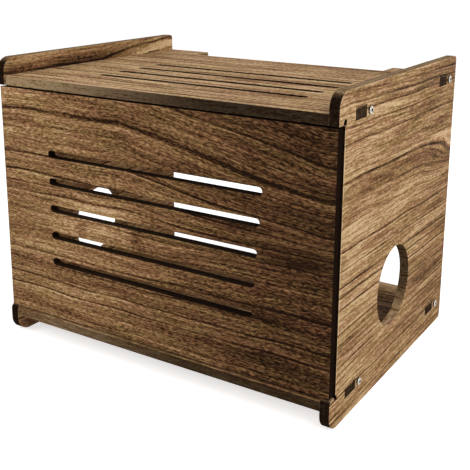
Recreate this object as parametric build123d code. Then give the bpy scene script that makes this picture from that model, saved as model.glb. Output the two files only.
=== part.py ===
from build123d import *

import os

# Router storage box: two side panels, a top and a bottom panel between them, and a front
# panel that pulls off. Every panel is cut from thin dark-stained board, and tabs, mortises
# and screws hold the case together. The back is open.
#
# Millimetres. +Z is up, +X is to the right seen from the front, and the front faces -Y.
# The origin is the centre of the footprint, on the surface that the box stands on.

# Overall size, over the side panels
box_width = 320.0
box_depth = 240.0
box_height = 250.0

# Boards
side_thickness = 8.0
top_thickness = 8.0
bottom_thickness = 8.0
front_thickness = 8.0

# Heights of the two panels between the sides
leg_height = 16.0  # open space under the bottom panel
rim_height = 15.0  # side panel standing above the top panel

# Side panel: the ear at the top and the foot at the bottom reach past the recess
ear_reach = 9.5
foot_rise = 2.0  # foot's shoulder above the bottom panel, where the front panel stands
ear_round = 12.0
foot_round = 13.0
shoulder_round = 4.5
rear_round = 4.0
relief_diameter = 5.0  # round relief in each inner corner of the recess
relief_depth = 1.5  # its centre, into the ear or the foot

# Cable hole through each side panel
cable_hole_diameter = 67.0
cable_hole_from_front = 114.5
cable_hole_height = 76.0

# Tabs of the top and bottom panels, and their mortises in the side panels
tab_width = 18.5
front_tab_from_front = 35.5
rear_tab_from_rear = 32.5
mortise_side_play = 0.15
mortise_headroom = 1.0

# Top and bottom panels, measured back from the side panels' front and rear
top_front_inset = 1.5
bottom_front_inset = 0.5
panel_rear_inset = 4.5

# Top panel's cable cut-out and its vent slots
cutout_width = 205.0
cutout_depth = 24.0
cutout_corner_round = 2.5
top_slot_count = 4
top_slot_length = 199.0
top_slot_width = 7.0
top_slot_pitch = 26.0
top_slot_from_front = 51.0
top_slot_from_left = 63.0

# Front panel and the air around it
front_side_inset = 1.5  # its side edges, in from the side panels' outer faces
front_gap_above = 1.6
front_gap_below = 0.1
front_gap_behind = 0.1
front_slot_count = 5
front_slot_length = 207.5
front_slot_step = 1.8  # each slot is this much shorter than the one above it
front_slot_width = 6.5
front_slot_pitch = 23.8
front_slot_from_top = 52.5
front_slot_from_left = 52.0

# Screws through the side panels into the ends of the top and bottom panels
screw_diameter = 3.0
screw_length = 20.0
screw_head_diameter = 5.7
screw_head_height = 1.65
screw_crown_diameter = 3.0  # flat on top of the domed head
screw_shoulder_diameter = 4.8  # where the head's side turns in towards the crown
screw_shoulder_height = 1.0
screw_hole_diameter = 3.2
pilot_hole_play = 0.02
pilot_hole_extra_depth = 1.0
front_screw_from_front = 50.0
rear_screw_from_rear = 17.5

# Disc magnets that hold the front panel, in pairs that face each other
magnet_diameter = 4.0
magnet_thickness = 3.0
magnet_pocket_play = 0.02
magnet_from_side = 4.5
magnet_from_corner = 16.0  # from the recess's upper and lower corners

# Planes and levels that several pieces share
front_y = -box_depth / 2
rear_y = box_depth / 2
recess_y = front_y + ear_reach
panel_rear_y = rear_y - panel_rear_inset
outer_x = box_width / 2
inner_x = outer_x - side_thickness
bottom_underside = leg_height
bottom_face = bottom_underside + bottom_thickness
top_face = box_height - rim_height
top_underside = top_face - top_thickness
foot_top = bottom_face + foot_rise
ear_underside = top_underside
front_face_y = recess_y - front_gap_behind - front_thickness
front_back_y = recess_y - front_gap_behind
front_bottom_z = foot_top + front_gap_below
front_top_z = ear_underside - front_gap_above
front_edge_x = outer_x - front_side_inset

tab_centres_y = (front_y + front_tab_from_front, rear_y - rear_tab_from_rear)
screw_levels = {
    "top": top_underside + top_thickness / 2,
    "bottom": bottom_underside + bottom_thickness / 2,
}
screw_places_y = {
    "front": front_y + front_screw_from_front,
    "rear": rear_y - rear_screw_from_rear,
}
magnet_x = outer_x - magnet_from_side
magnet_levels = {
    "upper": ear_underside - magnet_from_corner,
    "lower": foot_top + magnet_from_corner,
}
sides = {"left": -1, "right": 1}


def box_between(low, high):
    """A box from its lowest to its highest corner."""
    size = [upper - lower for lower, upper in zip(low, high)]
    return Pos(*low) * Box(*size, align=Align.MIN)


def rod_along_x(start_x, end_x, y, z, diameter):
    """A rod along X, for screw holes and the cable holes."""
    rod = Cylinder(diameter / 2, abs(end_x - start_x))
    return Pos((start_x + end_x) / 2, y, z) * Rot(0, 90, 0) * rod


def disc_along_y(start_y, end_y, x, z, diameter):
    """A disc along Y, for the magnets and their pockets."""
    disc = Cylinder(diameter / 2, end_y - start_y)
    return Pos(x, (start_y + end_y) / 2, z) * Rot(90, 0, 0) * disc


def side_outline():
    """The side panel's outline: the drawing's x is the box's Y, and its y is Z."""
    corners = [
        ((front_y, 0), foot_round),
        ((rear_y, 0), rear_round),
        ((rear_y, box_height), rear_round),
        ((front_y, box_height), ear_round),
        ((front_y, ear_underside), 0),
        ((recess_y, ear_underside), 0),
        ((recess_y, foot_top), 0),
        ((front_y, foot_top), shoulder_round),
    ]
    points = [point for point, _ in corners]
    rounds = [radius for _, radius in corners]
    outline = make_face(FilletPolyline(*points, radius=rounds, close=True))
    relief = Circle(relief_diameter / 2)
    outline -= Pos(recess_y, ear_underside + relief_depth) * relief
    outline -= Pos(recess_y, foot_top - relief_depth) * relief
    return outline


def mortises(low_x, high_x):
    """The four openings that the tabs of the top and bottom panels pass through."""
    half_width = tab_width / 2 + mortise_side_play
    levels = (
        (bottom_underside, bottom_face + mortise_headroom),
        (top_underside, top_face + mortise_headroom),
    )
    return [
        box_between((low_x, y - half_width, low_z), (high_x, y + half_width, high_z))
        for low_z, high_z in levels
        for y in tab_centres_y
    ]


def side_panel(sign):
    """One side panel, with its cable hole, mortises, screw holes and magnet pockets."""
    low_x, high_x = sorted((sign * inner_x, sign * outer_x))
    panel = extrude(Plane.YZ.offset(low_x) * side_outline(), side_thickness)
    cable_y = front_y + cable_hole_from_front
    cuts = [rod_along_x(low_x, high_x, cable_y, cable_hole_height, cable_hole_diameter)]
    cuts += mortises(low_x, high_x)
    cuts += [
        rod_along_x(low_x, high_x, y, z, screw_hole_diameter)
        for y in screw_places_y.values()
        for z in screw_levels.values()
    ]
    pocket_diameter = magnet_diameter + 2 * magnet_pocket_play
    cuts += [
        disc_along_y(recess_y, recess_y + magnet_thickness, sign * magnet_x, z, pocket_diameter)
        for z in magnet_levels.values()
    ]
    return panel - cuts


def panel_between_sides(low_y, low_z, thickness):
    """A board between the side panels, with a tab into each mortise and its screw holes."""
    high_z = low_z + thickness
    board = box_between((-inner_x, low_y, low_z), (inner_x, panel_rear_y, high_z))
    for y in tab_centres_y:
        board += box_between(
            (-outer_x, y - tab_width / 2, low_z),
            (outer_x, y + tab_width / 2, high_z),
        )
    pilot_diameter = screw_diameter + 2 * pilot_hole_play
    pilot_end_x = outer_x - screw_length - pilot_hole_extra_depth
    pilots = [
        rod_along_x(sign * pilot_end_x, sign * inner_x, y, low_z + thickness / 2, pilot_diameter)
        for sign in sides.values()
        for y in screw_places_y.values()
    ]
    return board - pilots


def cable_cutout():
    """The cut-out in the top panel's rear edge, where cables leave upwards."""
    floor_y = panel_rear_y - cutout_depth
    mouth_y = panel_rear_y + cutout_depth
    outline = Pos(0, (floor_y + mouth_y) / 2) * Rectangle(cutout_width, mouth_y - floor_y)
    inner_corners = outline.vertices().group_by(Axis.Y)[0]
    outline = fillet(inner_corners, cutout_corner_round)
    return extrude(Pos(0, 0, top_underside) * outline, top_thickness)


def top_panel():
    """The top panel, with its vent slots and the cable cut-out."""
    slot = extrude(SlotOverall(top_slot_length, top_slot_width), top_thickness)
    slot_x = -inner_x + top_slot_from_left + top_slot_length / 2
    slots = [
        Pos(slot_x, front_y + top_slot_from_front + row * top_slot_pitch, top_underside) * slot
        for row in range(top_slot_count)
    ]
    board = panel_between_sides(front_y + top_front_inset, top_underside, top_thickness)
    return board - [cable_cutout(), *slots]


def bottom_panel():
    """The bottom panel, a plain board between its tabs."""
    return panel_between_sides(front_y + bottom_front_inset, bottom_underside, bottom_thickness)


def front_slots():
    """The front panel's slots: they start in line and end a little shorter row by row."""
    left_x = -front_edge_x + front_slot_from_left
    slots = []
    for row in range(front_slot_count):
        length = front_slot_length - row * front_slot_step
        outline = SlotOverall(length, front_slot_width)
        centre = (left_x + length / 2, front_top_z - front_slot_from_top - row * front_slot_pitch)
        back_plane = Plane.XZ.offset(-front_back_y)
        slots.append(extrude(back_plane * Pos(*centre) * outline, front_thickness))
    return slots


def front_panel():
    """The front panel, with its slots and the magnet pockets in its back."""
    board = box_between(
        (-front_edge_x, front_face_y, front_bottom_z),
        (front_edge_x, front_back_y, front_top_z),
    )
    pocket_diameter = magnet_diameter + 2 * magnet_pocket_play
    pockets = [
        disc_along_y(front_back_y - magnet_thickness, front_back_y, sign * magnet_x, z, pocket_diameter)
        for sign in sides.values()
        for z in magnet_levels.values()
    ]
    return board - [*front_slots(), *pockets]


def screw():
    """A button-head screw along +Z, with the seat of its head at the origin."""
    radius = screw_diameter / 2
    outline = Polyline(
        (0, -screw_length),
        (radius, -screw_length),
        (radius, 0),
        (screw_head_diameter / 2, 0),
        (screw_shoulder_diameter / 2, screw_shoulder_height),
        (screw_crown_diameter / 2, screw_head_height),
        (0, screw_head_height),
        close=True,
    )
    return revolve(Plane.XZ * make_face(outline), Axis.Z)


def build_nodes():
    """Every piece of the box, by its name."""
    nodes = {}
    for side, sign in sides.items():
        nodes[f"{side}_side_panel"] = side_panel(sign)
    nodes["top_panel"] = top_panel()
    nodes["bottom_panel"] = bottom_panel()
    nodes["front_panel"] = front_panel()
    for level, z in screw_levels.items():
        for side, sign in sides.items():
            for place, y in screw_places_y.items():
                seat = Pos(sign * outer_x, y, z) * Rot(0, sign * 90, 0)
                nodes[f"screw_{level}_{side}_{place}"] = seat * screw()
    for level, z in magnet_levels.items():
        for side, sign in sides.items():
            nodes[f"case_magnet_{level}_{side}"] = disc_along_y(
                recess_y, recess_y + magnet_thickness, sign * magnet_x, z, magnet_diameter
            )
            nodes[f"front_magnet_{level}_{side}"] = disc_along_y(
                front_back_y - magnet_thickness, front_back_y, sign * magnet_x, z, magnet_diameter
            )
    return nodes


os.makedirs("parts", exist_ok=True)
for name, piece in build_nodes().items():
    piece.label = name
    export_step(piece, f"parts/{name}.step")
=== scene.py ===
import math
from dataclasses import dataclass

import bmesh
import bpy
from bpy.props import FloatProperty, FloatVectorProperty, IntProperty, PointerProperty
from bpy.types import Operator, Panel, PropertyGroup
from mathutils import Matrix, Vector


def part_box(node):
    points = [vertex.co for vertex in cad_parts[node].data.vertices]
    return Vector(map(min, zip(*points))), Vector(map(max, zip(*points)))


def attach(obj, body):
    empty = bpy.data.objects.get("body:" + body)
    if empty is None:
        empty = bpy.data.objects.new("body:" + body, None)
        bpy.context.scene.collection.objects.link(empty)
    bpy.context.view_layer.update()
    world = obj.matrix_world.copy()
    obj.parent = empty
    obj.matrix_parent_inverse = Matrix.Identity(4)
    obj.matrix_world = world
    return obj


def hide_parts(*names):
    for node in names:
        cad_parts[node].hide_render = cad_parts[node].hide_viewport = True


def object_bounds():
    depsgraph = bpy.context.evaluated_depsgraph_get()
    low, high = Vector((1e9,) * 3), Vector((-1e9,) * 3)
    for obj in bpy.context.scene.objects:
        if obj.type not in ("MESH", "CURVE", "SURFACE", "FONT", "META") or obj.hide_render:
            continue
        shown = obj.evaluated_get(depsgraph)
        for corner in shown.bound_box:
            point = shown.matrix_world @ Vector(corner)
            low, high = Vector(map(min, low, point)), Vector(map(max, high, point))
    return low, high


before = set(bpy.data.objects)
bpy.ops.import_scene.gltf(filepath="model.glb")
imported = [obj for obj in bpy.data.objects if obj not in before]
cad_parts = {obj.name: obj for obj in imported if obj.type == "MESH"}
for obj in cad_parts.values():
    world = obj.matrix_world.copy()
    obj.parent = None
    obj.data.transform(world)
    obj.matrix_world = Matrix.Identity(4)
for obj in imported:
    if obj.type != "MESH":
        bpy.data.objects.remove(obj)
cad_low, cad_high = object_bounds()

bl_info = {
    "name": "Router Storage Box",
    "version": (1, 0, 0),
    "blender": (4, 5, 0),
    "location": "3D View > Sidebar > Storage Box",
    "description": "Gives the boards, screws and magnets of a router storage box their finish",
    "category": "Object",
}

MM = 0.001
PICTURE_WIDTH = 470

# Settings that many nodes share
SMOOTH = {"interpolation_type": "SMOOTHSTEP"}
ADD = {"operation": "ADD"}
SUBTRACT = {"operation": "SUBTRACT"}
MULTIPLY = {"operation": "MULTIPLY"}
MULTIPLY_ADD = {"operation": "MULTIPLY_ADD"}
GREATER_THAN = {"operation": "GREATER_THAN"}
ABSOLUTE = {"operation": "ABSOLUTE"}
LENGTH = {"operation": "LENGTH"}
FLOATS = {"data_type": "FLOAT"}
COLOURS = {"data_type": "RGBA"}

# The grain's growth lines, bare edges and openings
LINES_PER_RAMP = 7  # each line takes four of a colour ramp's 32 stops
RAMP_MARGIN = 20.0  # millimetres of ramp before the first line and past the last
EARLY_WOOD_REACH = 2.6  # half line widths of pale early wood under each line
EARLY_WOOD_PALENESS = 0.12
EDGE_REACH = 2.0  # millimetres off its level that a bare edge still counts
OPENING_REACH = 1.0  # millimetres past its radius that an opening's wall still counts
BROKEN_SHARE = 0.55  # share of a strong line's darkness where it is broken
RING_DRIFT = 3.0  # spacings that the faint growth lines drift
UPLIT_SOOT_SHARE = 0.3  # share of an opening's soot on its wall that faces up: the paler wall there is painted light

# Length and width of what each layer of noise draws, in millimetres. Fibres and flecks are
# coarser than real ones, which would be finer than a pixel of the picture.
WANDER_SIZE = (90, 32)
DRIFT_SIZE = (200, 14)
BREAK_SIZE = (70, 6)
BROAD_SIZE = (240, 18)
BAND_SIZE = (70, 4)
FIBRE_SIZE = (40, 1.2)
WAVE_SIZE = (11, 8)
FLECK_SIZE = (4.2, 1.0)
WARMTH_SIZE = (45, 9)
CRUMB_SIZE = (2.2, 2.2)
MARK_SIZE = (0.8, 0.8)  # handling marks on metal
MARK_DULLNESS = 0.16  # roughness that the marks add
MARK_SHADE = 0.72  # share of the plating's colour that they leave

# Light on the boards
WOOD_IOR = 1.45
WOOD_SPECULAR_LEVEL = 0.04  # scorched fibres hardly glint
FIBRE_RELIEF = 0.3 * MM

# Meshes
MERGE_DISTANCE = 0.002 * MM
FLAT_ANGLE = math.radians(1)  # facets that meet at less become one face
BOARD_SHARP_ANGLE = math.radians(30)
ARRIS_ANGLE = math.radians(40)
FASTENER_SHARP_ANGLE = math.radians(35)
HEAD_VERTICES, HEAD_RINGS = 48, 14
HEAD_RIM_SHARE = 0.6  # height of a screw head's rim, as a share of its crown's
FLANK_UPRIGHTNESS = 0.4  # a normal's Z on the head's steep flank is under this
SHANK_VERTICES = 24
MAGNET_VERTICES = 40

# The stage, in metres, with a camera's sensor of 36 mm
SENSOR_WIDTH = 36.0
NEAREST_SEEN, FARTHEST_SEEN = 0.05, 50.0
FLOOR_REACH = 12.0
FLOOR_GLOW = 0.65  # keeps the paper white for the camera, outside the box's shadow
SOFTBOXES = (  # name, place and size of each, and the setting that holds its power
    ("key_softbox", (1.1, -0.55, 1.15), 0.9, "key_power"),
    ("fill_softbox", (-0.75, -0.95, 0.75), 0.5, "fill_power"),
    ("rear_softbox", (0.45, 1.25, 0.6), 0.8, "rear_power"),
)


def linear(hex_colour, alpha=1.0):
    """An sRGB hex colour as the linear colour that Blender wants."""
    channels = [int(hex_colour[i : i + 2], 16) / 255 for i in (0, 2, 4)]
    return (*[c / 12.92 if c <= 0.04045 else ((c + 0.055) / 1.055) ** 2.4 for c in channels], alpha)


def add(tree, kind, settings=None, inputs=None):
    """Adds a node to a tree. An input takes a value, a socket, or a node, whose first output is used."""
    node = tree.nodes.new(kind)
    for key, value in (settings or {}).items():
        setattr(node, key, value)
    for key, value in (inputs or {}).items():
        socket = node.inputs[key]
        if isinstance(value, bpy.types.Node):
            value = value.outputs[0]
        if isinstance(value, bpy.types.NodeSocket):
            tree.links.new(value, socket)
        else:
            socket.default_value = value
    return node


def new_material(name):
    """A new material and its emptied node tree."""
    material = bpy.data.materials.new(name)
    material.use_nodes = True
    material.node_tree.nodes.clear()
    return material, material.node_tree


def object_place(tree):
    """The texture coordinates, and the Object ones in millimetres."""
    place = add(tree, "ShaderNodeTexCoord")
    scaled = {0: place.outputs["Object"], "Scale": 1 / MM}
    return place, add(tree, "ShaderNodeVectorMath", {"operation": "SCALE"}, scaled)


def colour_setting(name, description, hex_colour):
    return FloatVectorProperty(
        name=name, description=description, subtype="COLOR", size=4, default=linear(hex_colour)
    )


def length_setting(name, description, millimetres):
    return FloatProperty(
        name=name, description=description, default=millimetres * MM, unit="LENGTH", precision=5
    )


def angle_setting(name, description, degrees):
    return FloatProperty(name=name, description=description, default=math.radians(degrees), subtype="ANGLE")


def link_to_scene(name, mesh):
    """A new object at the origin, with its place in its mesh."""
    piece = bpy.data.objects.new(name, mesh)
    bpy.context.scene.collection.objects.link(piece)
    return piece


def centre(node):
    low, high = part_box(node)
    return (low + high) / 2


def nodes_named(start):
    """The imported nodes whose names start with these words, in order."""
    return sorted(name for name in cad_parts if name.startswith(start))


# Boards


@dataclass
class Figure:
    """How the grain lies on one board, and the light and shade painted on it. Places are the box's own
    coordinates in millimetres.
    """

    along: str  # axis that the grain follows
    across: str  # axis that the growth lines are stacked on
    through: str  # axis through the board's thickness
    seed: float  # each layer of noise adds its own number to it
    tone: float  # 0 is the darkest stain and 1 the palest
    lines: tuple = ()  # (level, darkness, half its width) of each strong growth line
    bends: tuple = ()  # (drop, along start, along end, across start, across end)
    patches: tuple = ()  # (along, across, length, width, change of tone)
    tone_and_shade_fall: tuple = (0.0, 0.0, 1.0)  # (change of tone, along start, along end): part wood tone, part painted shade
    flecks: float = 0.3  # strength of the short wavy flecks
    ripple: float = 1.5  # how far the flecks wave
    fibre: float = 0.5  # strength of the long fine fibres
    bands: float = 0.18  # strength of the bands between fibres and growth lines
    broad: float = 0.16  # strength of the broad light and dark stripes
    line_depth: float = 1.0  # how dark the darkest of the strong growth lines are
    ring_depth: float = 0.16  # how dark the faint growth lines are
    wander: float = 3.0  # how far the growth lines wander
    long_edge_soot: float = 0.6  # share of soot on cut edges that follow the grain
    # (across, soot share, share at the far end, along start, along end) of one such edge, whose soot grows
    # from its start to its end: part char, part painted shade
    char_and_shade_edge: tuple = ()
    openings: tuple = ()  # (along, across, radius, soot share) of round openings
    worn_and_highlit: tuple = ()  # (centre, half size) of straight arrises that handling has rubbed pale, with a painted highlight along them
    tab_ends: tuple = ()  # (centre, half size) of the brushed middle of each tab's end
    arris: float = 0.3  # width of the sanded round along every edge


def streaks(tree, grain, length, width, seed, detail=2.0, roughness=0.55, distortion=0.0):
    """Noise drawn out along the grain: flecks of about this length and width in millimetres."""
    stretched = add(
        tree,
        "ShaderNodeVectorMath",
        MULTIPLY_ADD,
        {0: grain, 1: (1 / length, 1 / width, 1 / width), 2: (seed, seed * 1.7, seed * 0.3)},
    )
    character = {"Scale": 1.0, "Detail": detail, "Roughness": roughness, "Distortion": distortion}
    noise = add(tree, "ShaderNodeTexNoise", {"noise_dimensions": "3D"}, {"Vector": stretched, **character})
    return noise.outputs["Fac"]


def strong_growth_lines(tree, flow, lines):
    """0.5 between the lines, up to 1 on each line and a little below 0.5 in the pale early wood under it."""
    low, high = min(lines)[0] - RAMP_MARGIN, max(lines)[0] + RAMP_MARGIN
    level = add(tree, "ShaderNodeMapRange", inputs={"Value": flow, "From Min": low, "From Max": high})
    ramp_node = add(tree, "ShaderNodeValToRGB", inputs={"Fac": level})
    ramp = ramp_node.color_ramp
    stops = []
    for line, darkness, width in lines:
        stops += [
            (line - EARLY_WOOD_REACH * width, 0.5),
            (line - width, 0.5 - EARLY_WOOD_PALENESS * darkness),
            (line, 0.5 + 0.5 * darkness),
            (line + width, 0.5),
        ]
    stops = sorted(((place - low) / (high - low), shade) for place, shade in stops)
    ramp.elements[0].position, ramp.elements[1].position = stops[0][0], stops[-1][0]
    for position, _ in stops[1:-1]:
        ramp.elements.new(position)
    for element, (_, shade) in zip(ramp.elements, stops):
        element.color = (shade, shade, shade, 1)
    return ramp_node.outputs["Color"]


def contrast(tree, layer, low, high):
    """Noise with its middle stretched, so that its flecks get crisp edges: -0.5 to 0.5."""
    spread = {"From Min": low, "From Max": high, "To Min": -0.5, "To Max": 0.5}
    return add(tree, "ShaderNodeMapRange", SMOOTH, {"Value": layer, **spread})


def distance_to_box(tree, place, middle, half_size):
    """How far a place lies outside a box."""
    away, zero = place, (0, 0, 0)
    steps = ("SUBTRACT", middle), ("ABSOLUTE", zero), ("SUBTRACT", half_size), ("MAXIMUM", zero)
    for operation, other in steps:
        away = add(tree, "ShaderNodeVectorMath", {"operation": operation}, {0: away, 1: other})
    away = add(tree, "ShaderNodeVectorMath", LENGTH, {0: away})
    return away.outputs["Value"]


def growth_flow(tree, figure, along, across, through):
    """Level of the growth lines: they drop where the figure bends, and wander a little everywhere."""
    flow = across
    for drop, along_start, along_end, across_start, across_end in figure.bends:
        way_along = add(
            tree,
            "ShaderNodeMapRange",
            inputs={"Value": along, "From Min": along_start, "From Max": along_end, "To Max": drop},
        )
        way_across = add(
            tree,
            "ShaderNodeMapRange",
            inputs={"Value": across, "From Min": across_start, "From Max": across_end},
        )
        bend = add(tree, "ShaderNodeMath", MULTIPLY, {0: way_along, 1: way_across})
        flow = add(tree, "ShaderNodeMath", ADD, {0: flow, 1: bend})
    straight = add(tree, "ShaderNodeCombineXYZ", inputs={0: along, 1: flow, 2: through})
    wander = streaks(tree, straight, *WANDER_SIZE, figure.seed, detail=1.5)
    both_ways = {"From Min": 0.3, "From Max": 0.7, "To Min": -figure.wander, "To Max": figure.wander}
    wandered = add(tree, "ShaderNodeMapRange", {"clamp": False}, {"Value": wander, **both_ways})
    return add(tree, "ShaderNodeMath", ADD, {0: flow, 1: wandered})


def soot_and_shade_share(tree, figure, in_mm, along, across, normal, on_face, on_end):
    """Soot left on the cut edges, most of all on end grain, with painted light and shade worked into it: 0 on
    the faces and up to 1.
    """
    end_grain = add(
        tree,
        "ShaderNodeMapRange",
        SMOOTH,
        {"Value": on_end, "From Min": 0.3, "From Max": 0.8, "To Min": figure.long_edge_soot, "To Max": 1.0},
    )
    soot_and_shade = end_grain.outputs[0]
    # Along such an edge the soot grows from one end to the other: part char, part painted shade
    for level, share, far_share, along_start, along_end in figure.char_and_shade_edge:
        shares = {"To Min": share, "To Max": far_share}
        left = add(
            tree,
            "ShaderNodeMapRange",
            SMOOTH,
            {"Value": along, "From Min": along_start, "From Max": along_end, **shares},
        )
        away = add(tree, "ShaderNodeMath", SUBTRACT, {0: across, 1: level})
        away = add(tree, "ShaderNodeMath", ABSOLUTE, {0: away})
        off_edge = add(tree, "ShaderNodeMath", GREATER_THAN, {0: away, 1: EDGE_REACH})
        soot_and_shade = add(tree, "ShaderNodeMix", FLOATS, {"Factor": off_edge, 2: left, 3: soot_and_shade}).outputs[0]

    # An opening's wall gets less soot where it faces up and more where it faces down: painted light and
    # painted shade
    uprightness = add(tree, "ShaderNodeSeparateXYZ", inputs={0: normal}).outputs["Z"]
    on_board = add(tree, "ShaderNodeCombineXYZ", inputs={0: along, 1: across})
    for opening_along, opening_across, radius, share in figure.openings:
        middle = (opening_along, opening_across, 0)
        off_centre = add(tree, "ShaderNodeVectorMath", SUBTRACT, {0: on_board, 1: middle})
        distance = add(tree, "ShaderNodeVectorMath", LENGTH, {0: off_centre})
        past = {0: distance.outputs["Value"], 1: radius + OPENING_REACH}
        outside = add(tree, "ShaderNodeMath", GREATER_THAN, past)
        shares = {"To Min": share, "To Max": UPLIT_SOOT_SHARE * share}
        left = add(
            tree,
            "ShaderNodeMapRange",
            inputs={"Value": uprightness, "From Min": 0.3, "From Max": 0.9, **shares},
        )
        soot_and_shade = add(tree, "ShaderNodeMix", FLOATS, {"Factor": outside, 2: left, 3: soot_and_shade}).outputs[0]

    for middle, half_size in figure.tab_ends:
        away = distance_to_box(tree, in_mm, middle, half_size)
        brushed = add(
            tree,
            "ShaderNodeMapRange",
            inputs={"Value": away, "From Min": 0.2, "From Max": 0.6, "To Min": 0.94, "To Max": 1},
        )
        soot_and_shade = add(tree, "ShaderNodeMath", MULTIPLY, {0: soot_and_shade, 1: brushed})
    crumbs = streaks(tree, in_mm, *CRUMB_SIZE, figure.seed + 23, detail=3)
    crumbs = add(
        tree,
        "ShaderNodeMapRange",
        inputs={"Value": crumbs, "From Min": 0.35, "From Max": 0.75, "To Min": 1.0, "To Max": 0.965},
    )
    soot_and_shade = add(tree, "ShaderNodeMath", MULTIPLY, {0: soot_and_shade, 1: crumbs})
    edge = add(tree, "ShaderNodeMapRange", SMOOTH, {"Value": on_face, "From Min": 0.85, "From Max": 0.4})
    return add(tree, "ShaderNodeMath", MULTIPLY, {0: soot_and_shade, 1: edge})


def torched_board(name, figure, settings):
    """Dark walnut grain, torched and brushed to a dull satin: a long brown figure with late-wood lines
    that are nearly black, and pale fibres standing a little proud. The cut edges stay charred."""
    material, tree = new_material(name)
    place, in_mm = object_place(tree)
    normal = place.outputs["Normal"]
    axes = add(tree, "ShaderNodeSeparateXYZ", inputs={0: in_mm})
    along, across, through = (axes.outputs[axis] for axis in (figure.along, figure.across, figure.through))
    flow = growth_flow(tree, figure, along, across, through)
    grain = add(tree, "ShaderNodeCombineXYZ", inputs={0: along, 1: flow, 2: through})

    # Faint growth lines between the strong ones
    drift = streaks(tree, grain, *DRIFT_SIZE, figure.seed + 5)
    rings = add(tree, "ShaderNodeMath", MULTIPLY, {0: flow, 1: MM / settings.line_spacing})
    rings = add(tree, "ShaderNodeMath", MULTIPLY_ADD, {0: drift, 1: RING_DRIFT, 2: rings})
    ring_part = add(tree, "ShaderNodeMath", {"operation": "FRACT"}, {0: rings})
    ring_number = add(tree, "ShaderNodeMath", {"operation": "FLOOR"}, {0: rings})
    ring_luck = add(tree, "ShaderNodeTexWhiteNoise", {"noise_dimensions": "1D"}, {"W": ring_number})
    ring_luck = ring_luck.outputs["Value"]
    late_wood = add(
        tree, "ShaderNodeMapRange", SMOOTH, {"Value": ring_part, "From Min": 0.5, "From Max": 0.98}
    )
    faint_lines = add(tree, "ShaderNodeMath", MULTIPLY, {0: late_wood, 1: ring_luck})

    # Tone of the wood, from broad to fine
    # The fall along the board is part wood tone, part painted shade
    tone_and_shade_fall, fall_start, fall_end = figure.tone_and_shade_fall
    tones = {"To Min": figure.tone, "To Max": figure.tone + tone_and_shade_fall}
    tone = add(
        tree,
        "ShaderNodeMapRange",
        SMOOTH,
        {"Value": along, "From Min": fall_start, "From Max": fall_end, **tones},
    )
    broad = streaks(tree, grain, *BROAD_SIZE, figure.seed + 7)
    bands = streaks(tree, grain, *BAND_SIZE, figure.seed + 11)
    fibres = streaks(tree, grain, *FIBRE_SIZE, figure.seed + 13, detail=2, roughness=0.7)
    waves = streaks(tree, grain, *WAVE_SIZE, figure.seed + 29, detail=1)
    waves = contrast(tree, waves, 0.25, 0.75)
    ripple = add(tree, "ShaderNodeMath", MULTIPLY_ADD, {0: waves, 1: figure.ripple * 2, 2: flow})
    rippled = add(tree, "ShaderNodeCombineXYZ", inputs={0: along, 1: ripple, 2: through})
    flecks = streaks(tree, rippled, *FLECK_SIZE, figure.seed + 17, detail=1, roughness=0.6, distortion=0.3)
    layers = (
        (contrast(tree, broad, 0.3, 0.7), figure.broad),
        (contrast(tree, bands, 0.3, 0.7), figure.bands),
        (contrast(tree, fibres, 0.35, 0.65), figure.fibre),
        (contrast(tree, flecks, 0.35, 0.65), figure.flecks),
        (faint_lines, -figure.ring_depth),
    )
    for layer, weight in layers:
        tone = add(tree, "ShaderNodeMath", MULTIPLY_ADD, {0: layer, 1: weight, 2: tone})

    # Strong growth lines, broken here and there
    breaks = streaks(tree, grain, *BREAK_SIZE, figure.seed + 3)
    depths = {"To Min": BROKEN_SHARE * figure.line_depth, "To Max": figure.line_depth}
    strength = add(
        tree, "ShaderNodeMapRange", SMOOTH, {"Value": breaks, "From Min": 0.3, "From Max": 0.6, **depths}
    )
    for first in range(0, len(figure.lines), LINES_PER_RAMP):
        strong = strong_growth_lines(tree, flow, figure.lines[first : first + LINES_PER_RAMP])
        below = add(tree, "ShaderNodeMath", SUBTRACT, {0: 0.5, 1: strong})
        below = add(tree, "ShaderNodeMath", MULTIPLY, {0: below, 1: strength})
        tone = add(tree, "ShaderNodeMath", ADD, {0: tone, 1: below})
    # Patches of tone follow the figure; some of them are painted light or shade
    for patch_along, patch_across, length, width, change in figure.patches:
        middle = (patch_along, patch_across, 0)
        offset = add(tree, "ShaderNodeVectorMath", SUBTRACT, {0: grain, 1: middle})
        reach = add(tree, "ShaderNodeVectorMath", MULTIPLY, {0: offset, 1: (1 / length, 1 / width, 0)})
        distance = add(tree, "ShaderNodeVectorMath", LENGTH, {0: reach})
        distance = distance.outputs["Value"]
        patch = add(
            tree,
            "ShaderNodeMapRange",
            SMOOTH,
            {"Value": distance, "From Min": 0.2, "From Max": 1.3, "To Min": change, "To Max": 0.0},
        )
        tone = add(tree, "ShaderNodeMath", ADD, {0: tone, 1: patch})

    # Handling rubs the arrises pale, and part of their paleness is a painted highlight
    facing = add(tree, "ShaderNodeVectorMath", ABSOLUTE, {0: normal})
    turned = add(tree, "ShaderNodeSeparateXYZ", inputs={0: facing})
    on_end = turned.outputs[figure.along]
    on_face = turned.outputs[figure.through]
    rubbed_and_highlit = add(
        tree,
        "ShaderNodeMapRange",
        SMOOTH,
        {"Value": on_face, "From Min": 0.998, "From Max": 0.95, "To Max": 0.15},
    )
    tone = add(tree, "ShaderNodeMath", ADD, {0: tone, 1: rubbed_and_highlit})
    for middle, half_size in figure.worn_and_highlit:
        away = distance_to_box(tree, in_mm, middle, half_size)
        rubbed_and_highlit = add(
            tree,
            "ShaderNodeMapRange",
            inputs={"Value": away, "From Min": 0.5, "From Max": 1.2, "To Min": 0.25, "To Max": 0},
        )
        tone = add(tree, "ShaderNodeMath", ADD, {0: tone, 1: rubbed_and_highlit})

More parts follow.
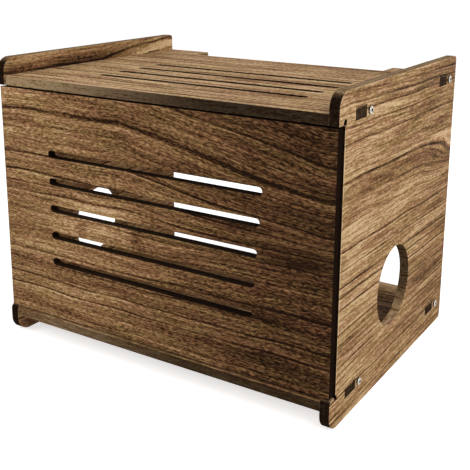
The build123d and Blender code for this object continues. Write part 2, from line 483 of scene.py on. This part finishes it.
    stain = add(tree, "ShaderNodeValToRGB", inputs={"Fac": tone})
    colours = (settings.darkest, settings.dark, settings.middle, settings.light, settings.palest)
    stain.color_ramp.elements[1].position = 1.0
    for share in (0.25, 0.5, 0.75):
        stain.color_ramp.elements.new(share)
    for element, colour in zip(stain.color_ramp.elements, colours):
        element.color = colour
    warmth = streaks(tree, grain, *WARMTH_SIZE, figure.seed + 19)
    warmth = add(
        tree,
        "ShaderNodeMapRange",
        inputs={"Value": warmth, "From Min": 0.35, "From Max": 0.65, "To Min": 0.491, "To Max": 0.507},
    )
    stained = add(tree, "ShaderNodeHueSaturation", inputs={"Hue": warmth, "Color": stain.outputs["Color"]})
    # Soot on the cut edges, with painted shade and painted light worked into its share
    soot_and_shade = soot_and_shade_share(tree, figure, in_mm, along, across, normal, on_face, on_end)
    colour = add(tree, "ShaderNodeMix", COLOURS, {"Factor": soot_and_shade, 6: stained, 7: settings.soot_and_shade})

    # Brushing leaves the fibres standing, and the bands of late wood a little shinier
    relief = add(tree, "ShaderNodeMath", MULTIPLY_ADD, {0: late_wood, 1: -0.4, 2: fibres})
    bump = add(tree, "ShaderNodeBump", inputs={"Height": relief, "Strength": 0.5, "Distance": FIBRE_RELIEF})
    sheen = add(
        tree,
        "ShaderNodeMapRange",
        inputs={"Value": bands, "From Min": 0.3, "From Max": 0.7, "To Min": 0.8, "To Max": 0.62},
    )
    dull = add(tree, "ShaderNodeMix", FLOATS, {"Factor": soot_and_shade, 2: sheen, 3: 1.0})
    surface = add(
        tree,
        "ShaderNodeBsdfPrincipled",
        inputs={
            "Base Color": colour.outputs[2],
            "Roughness": dull,
            "Normal": bump,
            "IOR": WOOD_IOR,
            "Specular IOR Level": WOOD_SPECULAR_LEVEL,
        },
    )
    add(tree, "ShaderNodeOutputMaterial", inputs={"Surface": surface})
    return material


def rounded_board(node, piece_name, body, figure):
    """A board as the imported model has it, with its arrises sanded round, in its own torched finish."""
    settings = bpy.context.scene.storage_box_boards
    shape = bmesh.new()
    shape.from_mesh(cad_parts[node].data)
    bmesh.ops.remove_doubles(shape, verts=shape.verts, dist=MERGE_DISTANCE)
    bmesh.ops.dissolve_limit(
        shape, angle_limit=FLAT_ANGLE, verts=shape.verts, edges=shape.edges, delimit={"NORMAL"}
    )
    mesh = bpy.data.meshes.new(piece_name)
    shape.to_mesh(mesh)
    shape.free()
    mesh.shade_smooth()
    mesh.set_sharp_from_angle(angle=BOARD_SHARP_ANGLE)
    piece = link_to_scene(piece_name, mesh)
    arris = piece.modifiers.new("Sanded arris", "BEVEL")
    arris.width = figure.arris * MM
    arris.segments = settings.arris_segments
    arris.limit_method = "ANGLE"
    arris.angle_limit = ARRIS_ANGLE
    arris.use_clamp_overlap = False
    arris.harden_normals = True
    mesh.materials.append(torched_board(f"Torched board {piece_name}", figure, settings))
    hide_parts(node)
    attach(piece, body)
    return piece


front_figure = Figure(
    along="X",
    across="Z",
    through="Y",
    seed=2.0,
    tone=0.6,
    lines=(
        (236, 0.7, 1.8), (208, 0.95, 3.2), (195.5, 0.4, 1.2), (183, 0.25, 1.2), (170.8, 0.95, 1.4),
        (154.2, 1.0, 1.4), (144.5, 0.5, 1.1), (137.5, 0.9, 1.4), (120, 0.4, 1.4), (102.2, 0.6, 1.3),
        (84, 0.75, 1.4), (74, 0.5, 1.1), (60.5, 0.9, 1.3), (49.8, 1.0, 1.2), (42, 0.3, 1.0),
        (31.5, 0.5, 1.2),
    ),
    bends=((37, -28, 150, 96, 184), (-11, 20, 140, 92, 112), (11, 20, 140, 122, 146)),
    patches=(
        (-58, 122, 60, 20, 0.24),
        (-150, 221, 40, 7, 0.12),
        (-72, 112, 8, 10, -0.2),
        (-14, 117, 8, 11, -0.2),
        (134, 128, 24, 8, -0.14),
        (-20, 209, 190, 6, -0.08),
        (135, 245, 26, 9, -0.08),
    ),
    # Darker to the right: part wood tone, part painted shade
    tone_and_shade_fall=(-0.38, -90, 150),
    flecks=0.36,
    ripple=1.3,
    fibre=0.22,
    wander=1.5,
    long_edge_soot=0.97,
    arris=0.12,
)
right_figure = Figure(
    along="Y",
    across="Z",
    through="X",
    seed=11.0,
    tone=0.81,
    lines=(
        (246.5, 0.53, 1.0), (239.2, 0.6, 1.0), (233.2, 0.67, 1.0), (223.5, 0.73, 1.0),
        (219, 0.4, 0.9), (212, 0.53, 1.0), (185.4, 0.85, 1.5), (170, 0.3, 1.0), (153, 0.33, 1.2),
        (145, 0.4, 1.0), (135.2, 1, 1.1), (124.2, 0.47, 0.8), (121.5, 0.8, 1.0), (108.5, 0.87, 1.1),
        (101.2, 0.93, 1.1), (92.2, 1, 1.1), (76.2, 0.33, 0.8), (73.2, 0.73, 1.0), (61.5, 0.4, 1.0),
        (53.8, 0.4, 1.0), (46.8, 0.67, 1.0), (32.8, 0.3, 0.9), (29.2, 0.3, 0.9), (23.2, 0.53, 1.0),
        (10.2, 0.33, 0.9), (6.5, 0.53, 1.0),
    ),
    bends=(
        (5.5, -80, 110, 60, 90),
        (15, 48, 112, 140, 165),
        (-15, 48, 112, 165, 184),
        (-2.5, -80, 110, 196, 210),
    ),
    patches=(
        (20, 198, 150, 9, -0.08),
        (20, 176, 150, 12, -0.12),
        (100, 188.8, 40, 3.6, 0.34),
        (0, 241, 200, 14, -0.16),
        (5, 144, 34, 4, 0.14),
        (-95, 132, 50, 22, 0.12),
        (60, 62, 70, 12, -0.08),
    ),
    # Darker towards the rear: painted shade
    tone_and_shade_fall=(-0.15, -60, 110),
    line_depth=1.5,
    flecks=0.26,
    ripple=0.6,
    fibre=0.32,
    wander=0.8,
    openings=((-5.5, 76, 33.5, 0.8),),
    worn_and_highlit=(((160, -110, 125.5), (0.2, 0, 98)),),
)
# The left board's tone, lower than the right one's, is painted shade; its patches paint shade on the middle
# of its rim and light towards its ends
left_figure = Figure(
    along="Y",
    across="Z",
    through="X",
    seed=17.0,
    tone=0.62,
    lines=((236.5, 1.0, 2.2),)
    + tuple((level, 0.9, 1.0) for level in (219, 205, 186, 160, 148, 131, 118, 96, 83, 61, 40, 22, 12)),
    bends=((-13, 5, 112, 224, 232),),
    patches=((-10, 238, 60, 10, -0.36), (95, 230, 50, 8, 0.32), (-90, 240, 40, 12, 0.04)),
    flecks=0.26,
    fibre=0.28,
    wander=1.6,
    openings=((-5.5, 76, 33.5, 0.6),),
)
top_figure = Figure(
    along="X",
    across="Y",
    through="Z",
    seed=23.0,
    tone=0.82,
    lines=tuple((level, 1.0, 1.8) for level in (-112, -99, -88, -60, -31, -8, 22, 47, 66, 84, 103)),
    # The first patch, darker at the left rear, is the painted shadow of the left side's rim
    patches=((-130, 85, 70, 40, -0.18), (-60, -50, 120, 30, 0.06), (-60, 0, 120, 20, 0.06)),
    tone_and_shade_fall=(-0.12, -80, 130),
    flecks=0.42,
    ripple=1.2,
    fibre=0.36,
    bands=0.26,
    broad=0.3,
    line_depth=1.25,
    long_edge_soot=0.97,
    char_and_shade_edge=((-118.5, 0.4, 0.965, -190, 60),),
    openings=((-102.5, 103.5, 10.9, 0.5), (102.5, 103.5, 10.9, 0.6)),
    tab_ends=tuple(((x, y, 231), (1, 8.0, 2.9)) for x in (-160, 160) for y in (-84.5, 87.5)),
    worn_and_highlit=(((0, -118.5, 235), (160, 0, 0)),),
    arris=0.12,
)
bottom_figure = Figure(
    along="X",
    across="Y",
    through="Z",
    seed=31.0,
    tone=0.60,
    lines=tuple((level, 1.0, 1.2) for level in (-108, -80, -49, -21, 8, 33, 58, 72, 79, 88, 94, 101, 107)),
    # The first patch is painted light on the strip at the open rear, the second painted shade further in
    patches=((100, 114, 160, 14, 0.62), (120, 30, 90, 70, -0.22)),
    flecks=0.26,
    fibre=0.28,
    long_edge_soot=0.97,
    char_and_shade_edge=((-119.5, 0.56, 0.92, -170, 60),),
    tab_ends=tuple(((x, y, 20), (1, 8.0, 2.9)) for x in (-160, 160) for y in (-84.5, 87.5)),
)


class BoardSettings(PropertyGroup):
    """Sizes and tones that all the boards share."""

    arris_segments: IntProperty(
        name="Arris segments", description="Faces across the sanded round", default=3, min=1, max=6
    )
    line_spacing: length_setting("Growth line spacing", "Mean distance between faint growth lines", 4.5)
    palest: colour_setting("Palest fibre", "Early wood that the torch hardly reached", "D9B98E")
    light: colour_setting("Light fibre", "Lightly toasted early wood", "AA8459")
    middle: colour_setting("Middle tone", "The board's general brown", "7C5B3B")
    dark: colour_setting("Dark tone", "Well-toasted wood", "4A311C")
    darkest: colour_setting("Late wood", "Late wood scorched nearly black", "1E1108")
    soot_and_shade: colour_setting("Soot", "Soot on end grain and in cut slots", "150A05")


class FrontPanelOperator(Operator):
    """Dress the front panel, which pulls off its magnets"""

    bl_idname = "storage_box.front_panel"
    bl_label = "Front Panel"

    def execute(self, context):
        rounded_board("front_panel", "front_board", "front", front_figure)
        return {"FINISHED"}


class SidePanelsOperator(Operator):
    """Dress the two side panels"""

    bl_idname = "storage_box.side_panels"
    bl_label = "Side Panels"

    def execute(self, context):
        rounded_board("right_side_panel", "right_side_board", "case", right_figure)
        rounded_board("left_side_panel", "left_side_board", "case", left_figure)
        return {"FINISHED"}


class TopPanelOperator(Operator):
    """Dress the slotted top panel"""

    bl_idname = "storage_box.top_panel"
    bl_label = "Top Panel"

    def execute(self, context):
        rounded_board("top_panel", "top_board", "case", top_figure)
        return {"FINISHED"}


class BottomPanelOperator(Operator):
    """Dress the bottom panel"""

    bl_idname = "storage_box.bottom_panel"
    bl_label = "Bottom Panel"

    def execute(self, context):
        rounded_board("bottom_panel", "bottom_board", "case", bottom_figure)
        return {"FINISHED"}


# Screws and magnets


def new_geometry_tree(name, sizes):
    """A geometry node tree whose inputs are the seats, these sizes, a seed and the two finishes."""
    tree = bpy.data.node_groups.new(name, "GeometryNodeTree")
    tree.interface.new_socket("Seats", in_out="INPUT", socket_type="NodeSocketGeometry")
    for size_name in sizes:
        socket = tree.interface.new_socket(size_name, in_out="INPUT", socket_type="NodeSocketFloat")
        socket.subtype = "DISTANCE"
    tree.interface.new_socket("Turn seed", in_out="INPUT", socket_type="NodeSocketInt")
    for finish in ("Finish", "Recess finish"):
        tree.interface.new_socket(finish, in_out="INPUT", socket_type="NodeSocketMaterial")
    tree.interface.new_socket("Fasteners", in_out="OUTPUT", socket_type="NodeSocketGeometry")
    return tree


def seat_copies(tree, given, one):
    """Puts a copy on every seat, turned to its outward direction and by a random amount about it."""
    outward = add(tree, "GeometryNodeInputNamedAttribute", {"data_type": "FLOAT_VECTOR"}, {"Name": "outward"})
    outward = outward.outputs["Attribute"]
    aim = add(tree, "FunctionNodeAlignRotationToVector", {"axis": "Z"}, {"Vector": outward})
    copies = add(
        tree,
        "GeometryNodeInstanceOnPoints",
        inputs={"Points": given.outputs["Seats"], "Instance": one, "Rotation": aim},
    )
    turn = add(
        tree,
        "FunctionNodeRandomValue",
        {"data_type": "FLOAT_VECTOR"},
        {"Min": (0, 0, 0), "Max": (0, 0, math.tau), "Seed": given.outputs["Turn seed"]},
    )
    turned = add(
        tree, "GeometryNodeRotateInstances", inputs={"Instances": copies, "Rotation": turn.outputs["Value"]}
    )
    real = add(tree, "GeometryNodeRealizeInstances", inputs={"Geometry": turned})
    shade_finish = given.outputs["Recess finish"]
    in_shade_finish = add(tree, "GeometryNodeMaterialSelection", inputs={"Material": shade_finish})
    outside = add(tree, "FunctionNodeBooleanMath", {"operation": "NOT"}, {0: in_shade_finish})
    finished = add(
        tree,
        "GeometryNodeSetMaterial",
        inputs={"Geometry": real, "Selection": outside, "Material": given.outputs["Finish"]},
    )
    add(tree, "NodeGroupOutput", inputs={"Fasteners": finished})


def screw_tree():
    """Button-head screws: a domed head with a hexagon socket, and a plain shank that the boards hide."""
    head_sizes = ("Head diameter", "Head height", "Crown diameter")
    inner_sizes = ("Socket width", "Socket depth", "Shank diameter", "Shank length")
    tree = new_geometry_tree("Button-head screws", head_sizes + inner_sizes)
    given = add(tree, "NodeGroupInput")
    size = given.outputs
    head_radius, crown_radius, shank_radius, half_height = (
        add(tree, "ShaderNodeMath", MULTIPLY, {0: size[whole], 1: 0.5})
        for whole in ("Head diameter", "Crown diameter", "Shank diameter", "Head height")
    )
    blank = add(
        tree,
        "GeometryNodeMeshCylinder",
        {"fill_type": "TRIANGLE_FAN"},
        {
            "Vertices": HEAD_VERTICES,
            "Side Segments": 1,
            "Fill Segments": HEAD_RINGS,
            "Radius": head_radius,
            "Depth": size["Head height"],
        },
    )
    lift = add(tree, "ShaderNodeCombineXYZ", inputs={2: half_height})
    seated = add(tree, "GeometryNodeSetPosition", inputs={"Geometry": blank.outputs["Mesh"], "Offset": lift})

    # Dome: past the crown the top falls away on an ellipse
    place = add(tree, "GeometryNodeInputPosition")
    axes = add(tree, "ShaderNodeSeparateXYZ", inputs={0: place})
    flat = add(tree, "ShaderNodeCombineXYZ", inputs={0: axes.outputs["X"], 1: axes.outputs["Y"]})
    out = add(tree, "ShaderNodeVectorMath", LENGTH, {0: flat})
    past_crown = add(
        tree,
        "ShaderNodeMapRange",
        inputs={"Value": out.outputs["Value"], "From Min": crown_radius, "From Max": head_radius},
    )
    squared = add(tree, "ShaderNodeMath", {"operation": "POWER"}, {0: past_crown, 1: 2.0})
    left = add(tree, "ShaderNodeMath", {"operation": "SUBTRACT", "use_clamp": True}, {0: 1.0, 1: squared})
    root = add(tree, "ShaderNodeMath", {"operation": "SQRT"}, {0: left})
    share = add(tree, "ShaderNodeMapRange", inputs={"Value": root, "To Min": HEAD_RIM_SHARE})
    height = add(tree, "ShaderNodeMath", MULTIPLY, {0: share, 1: axes.outputs["Z"]})
    domed_place = add(
        tree, "ShaderNodeCombineXYZ", inputs={0: axes.outputs["X"], 1: axes.outputs["Y"], 2: height}
    )
    domed = add(tree, "GeometryNodeSetPosition", inputs={"Geometry": seated, "Position": domed_place})

    # The head's steep flank takes the hexagon's dark finish: painted shade
    normal = add(tree, "ShaderNodeSeparateXYZ", inputs={0: add(tree, "GeometryNodeInputNormal")})
    flank = {0: normal.outputs["Z"], 1: FLANK_UPRIGHTNESS}
    steep = add(tree, "ShaderNodeMath", {"operation": "LESS_THAN"}, flank)
    flank_and_socket_shade = given.outputs["Recess finish"]
    domed = add(
        tree, "GeometryNodeSetMaterial", inputs={"Geometry": domed, "Selection": steep, "Material": flank_and_socket_shade}
    )

    over_corners = {0: size["Socket width"], 1: 1 / math.sqrt(3)}
    socket_radius = add(tree, "ShaderNodeMath", MULTIPLY, over_corners)
    socket_length = add(tree, "ShaderNodeMath", MULTIPLY, {0: size["Socket depth"], 1: 2.0})
    punch = add(
        tree,
        "GeometryNodeMeshCylinder",
        {"fill_type": "NGON"},
        {"Vertices": 6, "Radius": socket_radius, "Depth": socket_length},
    )
    crown_level = add(tree, "ShaderNodeCombineXYZ", inputs={2: size["Head height"]})
    punch = punch.outputs["Mesh"]
    punch = add(tree, "GeometryNodeTransform", inputs={"Geometry": punch, "Translation": crown_level})
    punch = add(tree, "GeometryNodeSetMaterial", inputs={"Geometry": punch, "Material": flank_and_socket_shade})
    cut = {"operation": "DIFFERENCE", "solver": "EXACT"}
    head = add(tree, "GeometryNodeMeshBoolean", cut, {"Mesh 1": domed, "Mesh 2": punch})

    shank = add(
        tree,
        "GeometryNodeMeshCylinder",
        {"fill_type": "NGON"},
        {"Vertices": SHANK_VERTICES, "Radius": shank_radius, "Depth": size["Shank length"]},
    )
    half_length = add(tree, "ShaderNodeMath", MULTIPLY, {0: size["Shank length"], 1: -0.5})
    down = add(tree, "ShaderNodeCombineXYZ", inputs={2: half_length})
    shank = shank.outputs["Mesh"]
    shank = add(tree, "GeometryNodeTransform", inputs={"Geometry": shank, "Translation": down})
    one = add(tree, "GeometryNodeJoinGeometry", inputs={0: shank})
    tree.links.new(head.outputs["Mesh"], one.inputs[0])
    seat_copies(tree, given, one)
    return tree


def magnet_tree():
    """Disc magnets with a small chamfer round both faces."""
    tree = new_geometry_tree("Disc magnets", ("Diameter", "Thickness", "Chamfer"))
    given = add(tree, "NodeGroupInput")
    size = given.outputs
    radius = add(tree, "ShaderNodeMath", MULTIPLY, {0: size["Diameter"], 1: 0.5})
    disc = add(
        tree,
        "GeometryNodeMeshCylinder",
        {"fill_type": "NGON"},
        {"Vertices": MAGNET_VERTICES, "Side Segments": 3, "Radius": radius, "Depth": size["Thickness"]},
    )

    # Chamfer: the rings of points between the faces move out to its shoulders
    place = add(tree, "GeometryNodeInputPosition")
    axes = add(tree, "ShaderNodeSeparateXYZ", inputs={0: place})
    level = add(tree, "ShaderNodeMath", ABSOLUTE, {0: axes.outputs["Z"]})
    half = add(tree, "ShaderNodeMath", MULTIPLY, {0: size["Thickness"], 1: 0.5})
    near_face = add(tree, "ShaderNodeMath", MULTIPLY, {0: half, 1: 0.9})
    on_face = add(tree, "ShaderNodeMath", GREATER_THAN, {0: level, 1: near_face})
    shrink = add(tree, "ShaderNodeMath", {"operation": "DIVIDE"}, {0: size["Chamfer"], 1: radius})
    shrink = add(tree, "ShaderNodeMath", MULTIPLY, {0: shrink, 1: on_face})
    scale = add(tree, "ShaderNodeMath", SUBTRACT, {0: 1.0, 1: shrink})
    shoulder = add(tree, "ShaderNodeMath", SUBTRACT, {0: half, 1: size["Chamfer"]})
    level = add(tree, "ShaderNodeMix", FLOATS, {"Factor": on_face, 2: shoulder, 3: half})
    side = add(tree, "ShaderNodeMath", {"operation": "SIGN"}, {0: axes.outputs["Z"]})
    height = add(tree, "ShaderNodeMath", MULTIPLY, {0: side, 1: level.outputs[0]})
    across = add(tree, "ShaderNodeCombineXYZ", inputs={0: axes.outputs["X"], 1: axes.outputs["Y"]})
    across = add(tree, "ShaderNodeVectorMath", {"operation": "SCALE"}, {0: across, "Scale": scale})
    upright = add(tree, "ShaderNodeCombineXYZ", inputs={2: height})
    chamfered = add(tree, "ShaderNodeVectorMath", ADD, {0: across, 1: upright})
    disc = disc.outputs["Mesh"]
    one = add(tree, "GeometryNodeSetPosition", inputs={"Geometry": disc, "Position": chamfered})
    seat_copies(tree, given, one)
    return tree


def seated_fasteners(piece_name, tree, seats, values, body, nodes):
    """Runs a fastener tree over its seats and keeps the result as one plain mesh."""
    points = bpy.data.meshes.new(piece_name + "_seats")
    points.from_pydata([seat for seat, _ in seats], [], [])
    outward = points.attributes.new("outward", "FLOAT_VECTOR", "POINT")
    for number, (_, direction) in enumerate(seats):
        outward.data[number].vector = direction
    carrier = link_to_scene(piece_name + "_seats", points)
    copies = carrier.modifiers.new("Copies", "NODES")
    copies.node_group = tree
    for item in tree.interface.items_tree:
        if item.name in values:
            copies[item.identifier] = values[item.name]
    evaluated = carrier.evaluated_get(bpy.context.evaluated_depsgraph_get())
    mesh = bpy.data.meshes.new_from_object(evaluated)
    mesh.name = piece_name
    carrier.modifiers.remove(copies)
    bpy.data.objects.remove(carrier)
    if not mesh.polygons:
        raise RuntimeError(f"{piece_name} came out empty")
    mesh.set_sharp_from_angle(angle=FASTENER_SHARP_ANGLE)
    piece = link_to_scene(piece_name, mesh)
    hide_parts(*nodes)
    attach(piece, body)
    return piece


def plated_steel(name, plating, roughness, seed):
    """Steel with a thin bright plating: a near-mirror grey with a warm cast and faint handling marks."""
    material, tree = new_material(name)
    _, in_mm = object_place(tree)
    marks = streaks(tree, in_mm, *MARK_SIZE, seed, detail=4)
    dulled = {"To Min": roughness, "To Max": roughness + MARK_DULLNESS}
    dull = add(
        tree, "ShaderNodeMapRange", inputs={"Value": marks, "From Min": 0.35, "From Max": 0.7, **dulled}
    )
    marked = [channel * MARK_SHADE for channel in plating[:3]] + [1]
    tint = add(tree, "ShaderNodeMix", COLOURS, {"Factor": marks, 6: plating, 7: marked})
    surface = add(
        tree,
        "ShaderNodeBsdfPrincipled",
        inputs={"Base Color": tint.outputs[2], "Metallic": 1.0, "Roughness": dull},
    )
    add(tree, "ShaderNodeOutputMaterial", inputs={"Surface": surface})
    return material


class ScrewSettings(PropertyGroup):
    """Sizes and finish of the button-head screws."""

    crown: length_setting("Crown diameter", "Flat on top of the head", 3.4)
    # An M3 screw's hexagon is 2.0 mm wide, which would be lost in the picture
    socket_width: length_setting("Socket width", "Hexagon across its flats", 2.5)
    socket_depth: length_setting("Socket depth", "Depth of the hexagon", 1.3)
    shank: length_setting("Shank diameter", "Plain shank, inside the boards", 3.0)
    turn_seed: IntProperty(name="Turn seed", description="How far each screw happened to turn", default=4)
    plating: colour_setting("Plating", "Bright zinc on steel", "C2BDB2")
    # The recess colour is painted shade, in the hexagon and on the head's steep flank
    recess: colour_setting("Recess", "Painted shade in the hexagon and on the head's flank", "1A1613")


class MagnetSettings(PropertyGroup):
    """Sizes and finish of the disc magnets."""

    chamfer: length_setting("Chamfer", "Chamfer round each face", 0.2)
    plating: colour_setting("Plating", "Nickel on the magnets", "CFCBC2")


class ScrewsOperator(Operator):
    """Put a button-head screw in each of its eight seats"""

    bl_idname = "storage_box.screws"
    bl_label = "Screws"

    def execute(self, context):
        settings = context.scene.storage_box_screws
        nodes = nodes_named("screw_")
        face_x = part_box("right_side_panel")[1].x
        seats = []
        for node in nodes:
            middle = centre(node)
            outward = Vector((math.copysign(1.0, middle.x), 0, 0))
            seats.append(((outward.x * face_x, middle.y, middle.z), outward))
        low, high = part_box("screw_top_right_front")
        values = {
            "Head diameter": high.y - low.y,
            "Head height": high.x - face_x,
            "Crown diameter": settings.crown,
            "Socket width": settings.socket_width,
            "Socket depth": settings.socket_depth,
            "Shank diameter": settings.shank,
            "Shank length": face_x - low.x,
            "Turn seed": settings.turn_seed,
            "Finish": plated_steel("Bright zinc-plated screw", settings.plating, roughness=0.2, seed=3.0),
            "Recess finish": plated_steel("Oily hexagon recess", settings.recess, roughness=0.5, seed=5.0),
        }
        seated_fasteners("button_head_screws", screw_tree(), seats, values, "case", nodes)
        return {"FINISHED"}


class MagnetsOperator(Operator):
    """Put the disc magnets in the side panels and in the back of the front panel"""

    bl_idname = "storage_box.magnets"
    bl_label = "Magnets"

    def execute(self, context):
        settings = context.scene.storage_box_magnets
        tree = magnet_tree()
        finish = plated_steel("Nickel-plated magnet", settings.plating, roughness=0.16, seed=9.0)
        for body in ("case", "front"):
            nodes = nodes_named(f"{body}_magnet_")
            low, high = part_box(nodes[0])
            values = {
                "Diameter": high.z - low.z,
                "Thickness": high.y - low.y,
                "Chamfer": settings.chamfer,
                "Turn seed": 0,
                "Finish": finish,
            }
            seats = [(centre(node), Vector((0, -1, 0))) for node in nodes]
            seated_fasteners(f"{body}_magnets", tree, seats, values, body, nodes)
        return {"FINISHED"}


# Stage


class StageSettings(PropertyGroup):
    """Camera, lamps and floor."""

    camera_place: FloatVectorProperty(
        name="Camera place",
        description="Where the camera stands",
        subtype="XYZ",
        unit="LENGTH",
        default=(0.38947, -0.61512, 0.34141),
    )
    camera_yaw: angle_setting("Camera yaw", "Turn from +Y towards -X", 31.739)
    camera_pitch: angle_setting("Camera pitch", "Tilt below the horizon", 13.849)
    camera_roll: angle_setting("Camera roll", "Turn about the line of sight", -0.416)
    focal_pixels: FloatProperty(
        name="Focal length", description="Focal length in pixels of the picture", default=841.25
    )
    centre_pixels: FloatVectorProperty(
        name="Optical centre",
        description="Where the lens points, in pixels from the picture's top left",
        size=2,
        default=(240.0, 155.1),
    )
    key_power: FloatProperty(name="Key power", description="Softbox at the right", default=10.0, unit="POWER")
    fill_power: FloatProperty(name="Fill power", description="Softbox at the left", default=4.5, unit="POWER")
    rear_power: FloatProperty(name="Rear power", description="Softbox behind", default=6.0, unit="POWER")
    sky_strength: FloatProperty(name="Sky strength", description="Even light from all round", default=0.42)
    floor_colour: colour_setting("Floor", "Pale paper sweep", "F2F1EF")
    floor_fibre: colour_setting("Floor fibre", "Faint cloudiness of the paper", "EFEEEC")


def seen_directly(tree):
    """1 for what the camera sees, also mirrored or through glass, and 0 for light that falls on things."""
    path = add(tree, "ShaderNodeLightPath")
    seen = add(
        tree,
        "ShaderNodeMath",
        {"operation": "MAXIMUM"},
        {0: path.outputs["Is Camera Ray"], 1: path.outputs["Is Glossy Ray"]},
    )
    return add(
        tree, "ShaderNodeMath", {"operation": "MAXIMUM"}, {0: seen, 1: path.outputs["Is Transmission Ray"]}
    )


def paper_sweep(settings):
    """White seamless paper: matt, lit up to white for the camera and still holding the box's shadow."""
    material, tree = new_material("White paper sweep")
    fibre = add(tree, "ShaderNodeTexNoise", inputs={"Scale": 90.0, "Detail": 3.0})
    colour = add(
        tree,
        "ShaderNodeMix",
        COLOURS,
        {"Factor": fibre.outputs["Fac"], 6: settings.floor_colour, 7: settings.floor_fibre},
    )
    matt = add(tree, "ShaderNodeBsdfDiffuse", inputs={"Color": colour.outputs[2]})
    glow = add(tree, "ShaderNodeMath", MULTIPLY, {0: seen_directly(tree), 1: FLOOR_GLOW})
    lit = add(tree, "ShaderNodeEmission", inputs={"Color": (1, 1, 1, 1), "Strength": glow})
    both = add(tree, "ShaderNodeAddShader", inputs={0: matt, 1: lit})
    add(tree, "ShaderNodeOutputMaterial", inputs={"Surface": both})
    return material


def soft_lamp(name, place, target, size, power):
    """A square softbox that looks at a point."""
    lamp = bpy.data.lights.new(name, "AREA")
    lamp.shape = "SQUARE"
    lamp.size = size
    lamp.energy = power
    holder = bpy.data.objects.new(name, lamp)
    holder.location = place
    holder.rotation_euler = (Vector(target) - Vector(place)).to_track_quat("-Z", "Y").to_euler()
    bpy.context.scene.collection.objects.link(holder)


class StageOperator(Operator):
    """Lay the floor, hang the lamps and set the camera"""

    bl_idname = "storage_box.stage"
    bl_label = "Stage"

    def execute(self, context):
        scene = context.scene
        settings = scene.storage_box_stage
        scene.view_settings.view_transform = "Standard"

        paper = bpy.data.meshes.new("paper_floor")
        corners = [(x * FLOOR_REACH, y * FLOOR_REACH, 0) for x, y in ((-1, -1), (1, -1), (1, 1), (-1, 1))]
        paper.from_pydata(corners, [], [(0, 1, 2, 3)])
        paper.materials.append(paper_sweep(settings))
        link_to_scene("paper_floor", paper)

        world = bpy.data.worlds.new("White studio")
        world.use_nodes = True
        tree = world.node_tree
        tree.nodes.clear()
        strength = add(
            tree,
            "ShaderNodeMapRange",
            inputs={"Value": seen_directly(tree), "To Min": settings.sky_strength, "To Max": 1.0},
        )
        sky = add(tree, "ShaderNodeBackground", inputs={"Color": (1, 1, 1, 1), "Strength": strength})
        add(tree, "ShaderNodeOutputWorld", inputs={"Surface": sky})
        scene.world = world

        middle = (cad_low + cad_high) / 2
        for name, place, size, power in SOFTBOXES:
            soft_lamp(name, place, middle, size, getattr(settings, power))

        lens = bpy.data.cameras.new("camera")
        lens.sensor_width = SENSOR_WIDTH
        lens.lens = settings.focal_pixels / PICTURE_WIDTH * SENSOR_WIDTH
        lens.shift_x = (PICTURE_WIDTH / 2 - settings.centre_pixels[0]) / PICTURE_WIDTH
        lens.shift_y = (settings.centre_pixels[1] - PICTURE_WIDTH / 2) / PICTURE_WIDTH
        lens.clip_start, lens.clip_end = NEAREST_SEEN, FARTHEST_SEEN
        camera = bpy.data.objects.new("camera", lens)
        turn = (
            Matrix.Rotation(settings.camera_yaw, 4, "Z")
            @ Matrix.Rotation(math.pi / 2 - settings.camera_pitch, 4, "X")
            @ Matrix.Rotation(-settings.camera_roll, 4, "Z")
        )
        camera.matrix_world = Matrix.Translation(settings.camera_place) @ turn
        scene.collection.objects.link(camera)
        scene.camera = camera
        return {"FINISHED"}


class StorageBoxPanel(Panel):
    """Lists the steps that dress the storage box"""

    bl_idname = "VIEW3D_PT_storage_box"
    bl_label = "Storage Box"
    bl_space_type = "VIEW_3D"
    bl_region_type = "UI"
    bl_category = "Storage Box"

    def draw(self, context):
        layout = self.layout
        for operator in operators:
            layout.operator(operator.bl_idname)
        for group, title in setting_groups:
            settings = getattr(context.scene, group)
            box = layout.box()
            box.label(text=title)
            for key in settings.__annotations__:
                box.prop(settings, key)


operators = (
    FrontPanelOperator,
    SidePanelsOperator,
    TopPanelOperator,
    BottomPanelOperator,
    ScrewsOperator,
    MagnetsOperator,
    StageOperator,
)
setting_groups = (
    ("storage_box_boards", "Boards"),
    ("storage_box_screws", "Screws"),
    ("storage_box_magnets", "Magnets"),
    ("storage_box_stage", "Stage"),
)
setting_classes = (BoardSettings, ScrewSettings, MagnetSettings, StageSettings)


def register():
    for settings, (group, _) in zip(setting_classes, setting_groups):
        bpy.utils.register_class(settings)
        setattr(bpy.types.Scene, group, PointerProperty(type=settings))
    for operator in (*operators, StorageBoxPanel):
        bpy.utils.register_class(operator)


def unregister():
    for operator in reversed((*operators, StorageBoxPanel)):
        bpy.utils.unregister_class(operator)
    for settings, (group, _) in zip(setting_classes, setting_groups):
        delattr(bpy.types.Scene, group)
        bpy.utils.unregister_class(settings)


def main():
    register()
    for operator in operators:
        category, name = operator.bl_idname.split(".")
        getattr(getattr(bpy.ops, category), name)()


if __name__ == "__main__":
    main()
